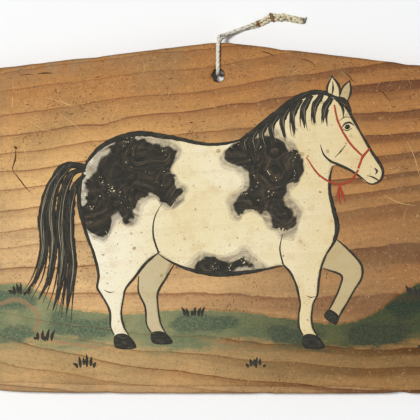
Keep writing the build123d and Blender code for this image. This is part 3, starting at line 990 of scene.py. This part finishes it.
def cedarFigure():
    # plain-sawn cedar, planed by hand and darkened by smoke and age: thin red-brown ring lines
    # that fade downwards into paler early wood, redder and darker to the right
    tree = bpy.data.node_groups.new("planedCedar", "ShaderNodeTree")
    for name, kind in (("Color", "Color"), ("Roughness", "Float"), ("Height", "Float")):
        tree.interface.new_socket(name, in_out="OUTPUT", socket_type="NodeSocket" + kind)
    add = partial(addNode, tree)
    place = placeOn(add)
    xyz = add("SeparateXYZ", place, take="all")
    ring = add("Attribute", take="Fac", attribute_name="ring")  # whole at a ring line
    # the lines waver by about a millimetre over 20 mm
    waver = add("VectorMath MULTIPLY", place, (1 / 20, 1 / 9, 1 / 9))
    waver = add("TexNoise", {"Vector": waver, "Scale": 1.0, "Detail": 4.0})
    waver = add("Math MULTIPLY_ADD", waver, 0.26, -0.13)
    ring = add("Math ADD", ring, waver)
    part = add("Math FRACT", ring)
    whole = add("Math FLOOR", ring)
    chance = add("TexWhiteNoise", {"W": whole}, noise_dimensions="1D")
    toRight = add("MapRange", xyz[0], -70.0, 110.0, interpolation_type="SMOOTHSTEP")
    lateLeft = add("ValToRGB", part, stops=[(0.0, 0.85), (0.03, 0.95), (0.075, 0.42), (0.2, 0.24),
                                            (0.45, 0.11), (0.75, 0.03), (0.93, 0.0), (0.985, 0.1),
                                            (1.0, 0.8)])
    lateRight = add("ValToRGB", part, stops=[(0.0, 1.0), (0.04, 1.0), (0.1, 0.9), (0.3, 0.8), (0.42, 0.3),
                                             (0.58, 0.1), (0.9, 0.0), (0.985, 0.12), (1.0, 0.95)])
    late = add("Mix", toRight, lateLeft, lateRight)
    strength = add("MapRange", chance, 0.0, 1.0, 0.6, 1.1)
    late = add("Math MULTIPLY", late, strength, use_clamp=True)
    upward = add("MapRange", xyz[1], -91.0, 91.0)
    early = add("ValToRGB", upward, stops=[(0.0, "#DEB077"), (0.17, "#E6BA7F"), (0.42, "#F5CA8E"),
                                           (0.62, "#F2C27D"), (0.76, "#D9A35F"), (0.85, "#C58A48"),
                                           (0.95, "#BE8442")])
    earlyRight = add("ValToRGB", upward, stops=[(0.0, "#AC8150"), (0.25, "#AA7846"), (0.5, "#B67C42"),
                                                (0.68, "#BD8244"), (0.8, "#BA7F42"), (0.9, "#B3783D")])
    early = add("Mix", toRight, early, earlyRight, data_type="RGBA")
    lateWood = add("Mix", toRight, "#94562A", "#66350E", data_type="RGBA")
    colour = add("Mix", late, early, lateWood, data_type="RGBA")
    # fibres about half a millimetre across and 25 mm long, following the rings
    across = add("Math MULTIPLY", ring, 20.0)
    lengthways = add("Math MULTIPLY", xyz[0], 1 / 25)
    deep = add("Math MULTIPLY", xyz[2], 1 / 3)
    grain = add("CombineXYZ", lengthways, across, deep)
    fibres = add("TexNoise", {"Vector": grain, "Scale": 1.0, "Detail": 4.0, "Roughness": 0.65})
    colour = toned(add, colour, fibres, 0.7, [(0.28, 0.66), (0.5, 0.88), (0.72, 1.0)])
    # smears along the grain, 5 mm high and 40 mm long
    smear = add("VectorMath MULTIPLY", place, (1 / 38, 1 / 5.5, 1 / 5.5))
    smear = add("TexNoise", {"Vector": smear, "Scale": 1.0, "Detail": 3.0})
    colour = toned(add, colour, smear, 0.5, [(0.32, 0.7), (0.5, 0.92), (0.66, 1.0)])
    # cloudy age stains 15 to 40 mm wide
    cloud = add("TexNoise", {"Vector": place, "Scale": 1 / 30, "Detail": 3.0})
    colour = stained(add, colour, cloud, 0.46, 0.72, 0.45, "#8E7048")
    # rubbed surface: mottling of 2 mm and of half a millimetre, with pale scuffs
    mottle = add("TexNoise", {"Vector": place, "Scale": 1 / 2.4, "Detail": 2.0})
    colour = toned(add, colour, mottle, 0.5, [(0.3, 0.7), (0.52, 0.95), (0.72, 1.0)])
    grit = add("TexNoise", {"Vector": place, "Scale": 1 / 0.75, "Detail": 2.0, "Roughness": 0.7,
                            "Distortion": 0.8})
    colour = toned(add, colour, grit, 0.55, [(0.32, 0.55), (0.5, 0.9), (0.62, 1.0)])
    scuff = add("TexNoise", {"Vector": place, "Scale": 1 / 1.7, "Detail": 3.0, "Roughness": 0.6,
                             "Distortion": 1.6})
    colour = stained(add, colour, scuff, 0.6, 0.74, 0.55, "#DDB87F")
    # dark pits about a millimetre long, in drifts
    shortWay = add("Math MULTIPLY", xyz[0], 1 / 1.1)
    acrossPit = add("Math MULTIPLY", ring, 13.0)
    pits = add("CombineXYZ", shortWay, acrossPit, deep)
    pits = add("TexNoise", {"Vector": pits, "Scale": 1.0, "Detail": 2.0})
    drift = add("TexNoise", {"Vector": place, "Scale": 1 / 16, "Detail": 1.0})
    pits = add("Math MULTIPLY_ADD", drift, 0.3, pits)
    pits = add("MapRange", pits, 0.79, 0.9, 0.0, 0.8)
    colour = add("Mix", pits, colour, "#5A3519", data_type="RGBA")
    # hand dirt and painted shade along the arrises, round the hole and down its wall, and grey weathering
    # inside the upper left edge
    edge = add("Attribute", take="Fac", attribute_name="edge")
    edgeDirtAndShade = add("TexNoise", {"Vector": place, "Scale": 1 / 6, "Detail": 3.0})
    grey = add("MapRange", edge, 1.0, 11.0, 0.6, 0.0)
    leftEnd = add("MapRange", xyz[0], 10.0, -80.0)
    grey = add("Math MULTIPLY", grey, leftEnd)
    patchy = add("MapRange", edgeDirtAndShade, 0.36, 0.6)
    grey = add("Math MULTIPLY", grey, patchy)
    colour = add("Mix", grey, colour, "#8A7656", data_type="RGBA")
    # painted shade and dirt: darker within about a millimetre of the arrises and on the hole's wall
    edge = add("Math MULTIPLY", edge, edgeDirtAndShade)
    edgeDirtAndShade = add("MapRange", edge, 0.1, 1.0, 0.5, 0.0)
    colour = add("Mix", edgeDirtAndShade, colour, "#4A321C", data_type="RGBA")
    rough = add("MapRange", fibres, 0.0, 1.0, 0.5, 0.72)
    height = add("Math ADD", late, fibres)
    height = add("Math SUBTRACT", height, pits)
    out = tree.nodes.new("NodeGroupOutput")
    for socket, value in zip(out.inputs, (colour, rough, height)):
        tree.links.new(value, socket)
    return tree


cedar = cedarFigure()


def newMaterial(name):
    material = bpy.data.materials.new(name)
    material.use_nodes = True
    material.node_tree.nodes.clear()
    return material, partial(addNode, material.node_tree)


def finishMaterial(add, colour, rough, height, depth, specular):
    bump = add("Bump", {"Height": height, "Strength": 1.0, "Distance": depth * mm})
    shader = add("BsdfPrincipled", {"Base Color": colour, "Roughness": rough, "Normal": bump, "IOR": 1.5,
                                    "Specular IOR Level": specular})
    add("OutputMaterial", {"Surface": shader})


def cedarWood():
    # the bare plank: dull, with the ring lines standing a little proud
    material, add = newMaterial("cedarHandPlaned")
    wood = add("Group", take="all", node_tree=cedar)
    finishMaterial(add, wood[0], wood[1], wood[2], 0.12, 0.3)
    return material


def shellWhitePaint():
    # ground oyster shell in hide glue: a chalky flat white, yellowed to the right, with brown mould spots,
    # and ink brushed on it in a grey wash and a dark core
    material, add = newMaterial("oysterShellWhite")
    place = placeOn(add)
    xyz = add("SeparateXYZ", place, take="all")
    cloud = add("TexNoise", {"Vector": place, "Scale": 1 / 26, "Detail": 4.0})
    colour = add("ValToRGB", cloud, stops=[(0.3, "#E7D6A8"), (0.5, "#ECDFB6"), (0.7, "#F1E7C7")])
    # whiter to the left, yellower to the right
    colour = stained(add, colour, xyz[0], -20.0, -80.0, 0.85, "#F9F6E4")
    colour = stained(add, colour, xyz[0], 0.0, 85.0, 0.75, "#DCC592")
    # old damp: brown clouds 5 to 12 mm wide, and the wood's rings as faint lines
    damp = add("TexNoise", {"Vector": place, "Scale": 1 / 9, "Detail": 4.0, "Roughness": 0.62})
    colour = stained(add, colour, damp, 0.5, 0.78, 0.55, "#D2B27A")
    ring = add("Attribute", take="Fac", attribute_name="ring")
    line = add("Math FRACT", ring)
    line = add("ValToRGB", line, stops=[(0.0, 0.2), (0.04, 0.16), (0.2, 0.03), (0.95, 0.0), (1.0, 0.2)])
    patchy = add("TexNoise", {"Vector": place, "Scale": 1 / 14, "Detail": 2.0})
    line = add("Math MULTIPLY", line, patchy)
    colour = add("Mix", line, colour, "#B98F57", data_type="RGBA")
    chalk = add("TexNoise", {"Vector": place, "Scale": 1 / 0.7, "Detail": 3.0})
    colour = toned(add, colour, chalk, 0.6, [(0.3, 0.84), (0.55, 0.97), (0.7, 1.0)])
    # mould spots with dark rims: a few of 1.5 to 2.5 mm, more of half a millimetre
    for cell, least, most, amount in ((14.0, 0.02, 0.075, 0.95), (6.5, 0.02, 0.075, 0.9),
                                      (2.7, 0.03, 0.1, 0.8)):
        rag = add("TexNoise", {"Vector": place, "Scale": 1 / 0.8, "Detail": 2.0}, take="Color")
        moved = add("VectorMath SUBTRACT", rag, (0.5, 0.5, 0.5))
        moved = add("VectorMath SCALE", moved, 1.3)
        moved = add("VectorMath ADD", place, moved)
        cells = add("TexVoronoi", {"Vector": moved, "Scale": 1 / cell}, take="all", voronoi_dimensions="2D")
        chance = add("SeparateColor", cells["Color"], take="all")
        size = add("MapRange", chance[0], 0.4, 1.0, least, most)
        spot = add("Math DIVIDE", cells["Distance"], size)
        spot = add("Math MULTIPLY", spot, 0.7)
        spot = add("ValToRGB", spot, stops=[(0.0, 0.65), (0.4, 0.7), (0.58, 1.0), (0.75, 0.35),
                                            (0.98, 0.0)])
        some = add("Math GREATER_THAN", chance[0], 0.45)
        spot = add("Math MULTIPLY", spot, some)
        depth = add("MapRange", chance[1], 0.0, 1.0, 0.35 * amount, amount)
        spot = add("Math MULTIPLY", spot, depth)
        colour = add("Mix", spot, colour, "#7C5A2A", data_type="RGBA")
    # shade on the far legs
    shade = add("Attribute", take="Fac", attribute_name="shade")
    shade = add("Math MULTIPLY", shade, 0.6)
    colour = add("Mix", shade, colour, "#A8946A", data_type="RGBA")
    # ink: a thin wash with a sharp dried edge, and a dark core 3 mm in; both follow the brush
    depth = add("Attribute", take="Fac", attribute_name="ink")
    big = add("TexNoise", {"Vector": place, "Scale": 1 / 8, "Detail": 1.0})
    fine = add("TexNoise", {"Vector": place, "Scale": 1 / 1.5, "Detail": 4.0, "Roughness": 0.65})
    swing = add("TexNoise", {"Vector": place, "Scale": 1 / 24, "Detail": 1.0}, take="Color")
    swing = add("VectorMath SCALE", swing, 30.0)
    swing = add("VectorMath ADD", place, swing)
    stretched = add("VectorMath MULTIPLY", swing, (1 / 15, 1 / 4, 1.0))
    streak = add("TexNoise", {"Vector": stretched, "Scale": 1.0, "Detail": 4.0, "Roughness": 0.6})
    rag = add("Math MULTIPLY_ADD", big, 6.0, -3.0)
    rag = add("Math MULTIPLY_ADD", fine, 0.9, rag)
    away = add("Math ADD", depth, rag)
    pool = add("TexNoise", {"Vector": place, "Scale": 1 / 15, "Detail": 2.0})
    soft = add("MapRange", pool, 0.44, 0.62, 0.9, 2.6)
    wash = add("MapRange", away, 0.5, soft)
    thin = add("MapRange", streak, 0.35, 0.65, 0.9, 0.4)
    washed = add("Math MULTIPLY", wash, thin)
    dried = add("ValToRGB", away, stops=[(0.2, 0.0), (0.45, 0.4), (0.95, 0.0)])
    washed = add("Math ADD", washed, dried, use_clamp=True)
    ragged = add("Math MULTIPLY_ADD", streak, -2.6, away)
    inside = add("MapRange", pool, 0.4, 0.62, -0.5, 3.6)
    full = add("Math MULTIPLY_ADD", soft, 0.6, inside)
    core = add("MapRange", ragged, inside, full)
    black = add("ValToRGB", streak,
                stops=[(0.34, "#2D2D28"), (0.5, "#393731"), (0.6, "#484138"), (0.7, "#5F5446"),
                       (0.8, "#7A6B56")])
    colour = add("Mix", washed, colour, "#85796A", data_type="RGBA")
    black = toned(add, black, fine, 0.6, [(0.35, 0.72), (0.55, 1.0)])
    colour = add("Mix", core, colour, black, data_type="RGBA")
    # rubbed flecks where the white comes back, in drifts
    fleck = add("TexVoronoi", {"Vector": place, "Scale": 1 / 1.2})
    drift = add("TexNoise", {"Vector": stretched, "Scale": 0.55, "Detail": 2.0})
    drift = add("MapRange", drift, 0.53, 0.78, 0.0, 0.48)
    fleck = add("Math GREATER_THAN", drift, fleck)
    fleck = add("Math MULTIPLY", fleck, wash)
    fleck = add("Math MULTIPLY", fleck, 0.85)
    colour = add("Mix", fleck, colour, "#DACDA4", data_type="RGBA")
    finishMaterial(add, colour, 0.85, chalk, 0.03, 0.12)
    return material


def greenEarthPaint():
    # green earth thinned with glue: an olive wash straight on the wood, then dark dabs with soft
    # grainy edges; the rings show through and the wash runs out below
    material, add = newMaterial("greenEarthWash")
    place = placeOn(add)
    xyz = add("SeparateXYZ", place, take="all")
    wood = add("Group", take="all", node_tree=cedar)
    toRight = add("MapRange", xyz[0], -60.0, 80.0, interpolation_type="SMOOTHSTEP")
    cloud = add("TexNoise", {"Vector": place, "Scale": 1 / 13, "Detail": 4.0})
    left = add("ValToRGB", cloud, stops=[(0.32, "#5C7558"), (0.5, "#73805F"), (0.66, "#8A8C69")])
    right = add("ValToRGB", cloud, stops=[(0.32, "#1F382A"), (0.5, "#2C432E"), (0.66, "#404F31")])
    green = add("Mix", toRight, left, right, data_type="RGBA")
    fine = add("TexNoise", {"Vector": place, "Scale": 1 / 2.6, "Detail": 5.0, "Roughness": 0.6})
    rag = add("Math MULTIPLY_ADD", fine, 3.0, -1.5)
    dab = add("Attribute", take="Fac", attribute_name="deep")
    brushed = add("VectorMath MULTIPLY", place, (1 / 9, 1 / 2.6, 1.0))
    brushed = add("TexNoise", {"Vector": brushed, "Scale": 1.0, "Detail": 3.0, "Roughness": 0.6})
    pigment = add("TexNoise", {"Vector": place, "Scale": 1 / 1.2, "Detail": 3.0, "Roughness": 0.7})
    dab = add("Math MULTIPLY_ADD", brushed, 8.0, dab)
    dab = add("Math MULTIPLY_ADD", pigment, 2.4, dab)
    dab = add("MapRange", dab, 3.9, 6.5, 0.0, 0.92)
    dark = add("Mix", toRight, "#33594A", "#11302B", data_type="RGBA")
    green = add("Mix", dab, green, dark, data_type="RGBA")
    # grains of pigment about a millimetre wide
    light = add("Mix", toRight, "#96A27C", "#4A6144", data_type="RGBA")
    green = stained(add, green, pigment, 0.48, 0.68, 0.42, light)
    # cover: sharp above, run out below in long streaks
    inset = add("Attribute", take="Fac", attribute_name="inset")
    inset = add("Math ADD", inset, rag)
    cover = add("MapRange", inset, 0.6, 1.5)
    stretched = add("VectorMath MULTIPLY", place, (1 / 30, 1 / 7, 1.0))
    streak = add("TexNoise", {"Vector": stretched, "Scale": 1.0, "Detail": 5.0, "Roughness": 0.6})
    low = add("Math MULTIPLY_ADD", streak, 34.0, xyz[1])
    thin = add("MapRange", low, -68.0, -58.0, 0.0, 0.26)
    full = add("MapRange", low, -52.0, -46.0, 0.0, 0.68)
    run = add("Math ADD", thin, full)
    run = add("Math MAXIMUM", run, dab)
    cover = add("Math MULTIPLY", cover, run)
    grain = add("TexNoise", {"Vector": place, "Scale": 1 / 0.7, "Detail": 4.0, "Roughness": 0.7,
                             "Distortion": 0.6})
    grain = add("MapRange", grain, 0.42, 0.66, 1.0, 0.8)
    grain = add("Math MAXIMUM", grain, dab)
    cover = add("Math MULTIPLY", cover, grain)
    bare = add("Attribute", take="Fac", attribute_name="bare")
    line = add("Math MULTIPLY_ADD", fine, -1.4, bare)
    line = add("MapRange", line, 0.0, 0.8, 0.8, 0.0)
    green = add("Mix", line, green, "#8F7659", data_type="RGBA")
    part = add("Attribute", take="Fac", attribute_name="ring")
    part = add("Math FRACT", part)
    seam = add("ValToRGB", part, stops=[(0.0, 0.8), (0.05, 0.86), (0.14, 1.0), (0.97, 1.0), (1.0, 0.82)])
    cover = add("Math MULTIPLY", cover, seam, use_clamp=True)
    colour = add("Mix", cover, wood[0], green, data_type="RGBA")
    finishMaterial(add, colour, 0.8, wood[2], 0.08, 0.15)
    return material


def brushedColour(name, dark, middle, light, worn):
    # one flat water-based colour from a brush: streaks along the stroke and a few rubbed flecks
    material, add = newMaterial(name)
    place = placeOn(add)
    along = add("Attribute", take="Fac", attribute_name="along")
    across = add("Attribute", take="Fac", attribute_name="across")
    along = add("Math MULTIPLY", along, 1 / 6)
    across = add("Math MULTIPLY", across, 2.6)
    stroke = add("CombineXYZ", along, across)
    streak = add("TexNoise", {"Vector": stroke, "Scale": 1.0, "Detail": 3.0})
    colour = add("ValToRGB", streak, stops=[(0.32, dark), (0.55, middle), (0.75, light)])
    fleck = add("TexNoise", {"Vector": place, "Scale": 1 / 0.6, "Detail": 2.0})
    colour = stained(add, colour, fleck, 0.68, 0.74, 0.7, worn)
    finishMaterial(add, colour, 0.8, streak, 0.02, 0.2)
    return material


def twistedString():
    # hand-twisted bast or paper string: dull cream, painted shade and grey dirt in the grooves, two brown
    # stains
    material, add = newMaterial("handTwistedString")
    place = placeOn(add)
    xyz = add("SeparateXYZ", place, take="all")
    fuzz = add("TexNoise", {"Vector": place, "Scale": 1 / 0.45, "Detail": 3.0})
    colour = add("ValToRGB", fuzz, stops=[(0.28, "#B9B6A4"), (0.46, "#E1DFD0"), (0.7, "#EFEEE4")])
    colour = stained(add, colour, xyz[0], 8.0, 22.0, 0.6, "#D8C898")  # yellower towards the knot
    # painted shade and dirt darken the grooves, and dirt makes short dark ticks, more so on the free part
    sunk = add("Attribute", take="Fac", attribute_name="sunk")
    beyond = add("MapRange", xyz[1], 90.0, 94.0, 0.3, 1.0)
    shadeAndDirtNoise = add("TexNoise", {"Vector": place, "Scale": 1 / 1.3, "Detail": 3.0})
    filled = add("MapRange", shadeAndDirtNoise, 0.34, 0.56)
    # painted shade: the grooves of the twist are darkened by their depth
    groove = add("Math MULTIPLY", sunk, filled)
    ticks = add("MapRange", shadeAndDirtNoise, 0.56, 0.64, 0.0, 0.85)
    groove = add("Math MAXIMUM", groove, ticks)
    groove = add("Math MULTIPLY", groove, beyond)
    colour = add("Mix", groove, colour, "#3F3D31", data_type="RGBA")
    # two stains: a slanting band on the pair of strands, and the first turn of the knot
    band = add("Math MULTIPLY_ADD", xyz[1], 0.55, xyz[0])
    band = add("Math SUBTRACT", band, 75.0)
    band = add("Math ABSOLUTE", band)
    band = add("Math MULTIPLY_ADD", fuzz, 1.0, band)
    band = add("MapRange", band, 1.15, 1.65, 0.9, 0.0)
    colour = add("Mix", band, colour, "#7A4418", data_type="RGBA")
    turn = add("Attribute", take="Fac", attribute_name="brown")
    soaked = add("MapRange", shadeAndDirtNoise, 0.3, 0.6, 1.0, 0.75)
    turn = add("Math MULTIPLY", turn, soaked)
    brown = add("ValToRGB", shadeAndDirtNoise, stops=[(0.36, "#8A5120"), (0.5, "#6B3B14"), (0.62, "#3A200C")])
    colour = add("Mix", turn, colour, brown, data_type="RGBA")
    colour = stained(add, colour, xyz[0], 42.2, 43.0, 0.8, "#4F4A3C")  # dirty cut ends
    finishMaterial(add, colour, 0.88, fuzz, 0.06, 0.12)
    return material


# soot in glue is a dull brownish black, iron earth a brick red, thin white over ink a broken pale line;
# a scratch shows fresh pale cedar, and a check holds dark brown dust
ink = brushedColour("sootInk", "#24231F", "#33312B", "#57534A", "#8D8268")
red = brushedColour("redEarth", "#8F3322", "#A9452F", "#BC6247", "#D3BE93")
hairWhite = brushedColour("shellWhiteLine", "#3B3932", "#A39A7F", "#DED4B4", "#4A463C")
scratched = brushedColour("scratchedCedar", "#CDA162", "#D8B077", "#E0BF8C", "#BE9258")
crackDirt = brushedColour("dirtInCracks", "#402814", "#54361C", "#71492A", "#84593A")
twine = twistedString()
finishes = [
    (board, cedarWood(), "plank"), (shellWhite, shellWhitePaint(), "shell_white"),
    (greenGround, greenEarthPaint(), "green_earth"), (inkLines, ink, "ink"), (maneAndTail, ink, "ink"),
    (grassTufts, ink, "ink"), (redHalter, red, "red_earth"), (whiteHair, hairWhite, "shell_white"),
    (paleScratches, scratched, "plank"), (darkChecks, crackDirt, "plank"),
    (cords["frontStrand"][0], twine, "string"), (cords["backStrand"][0], twine, "string"),
    (knotTurns, twine, "string"), (frayedEnds, twine, "string")]
for piece, material, slot in finishes:
    piece.data.materials.append(material)
print("materials are set")


# What moves with what

for piece in (board, shellWhite, greenGround, inkLines, maneAndTail, grassTufts, redHalter, whiteHair,
              paleScratches, darkChecks):
    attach(piece, "plaque")
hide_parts("board")
for piece in (knotTurns, frayedEnds):
    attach(piece, "hanging_cord")
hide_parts("end_knot")
# the drawn strands take the place of the string's solids
strands = [
    ("frontStrand", ("front_leg", "front_run", "front_tail"), 9.0, string["frontLength"]),
    ("backStrand", ("back_leg", "back_run", "back_tail"), 0.0, string["backLength"])]
for name, nodes, mouth, length in strands:
    piece, line = cords[name]
    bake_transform(piece)
    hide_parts(*nodes)
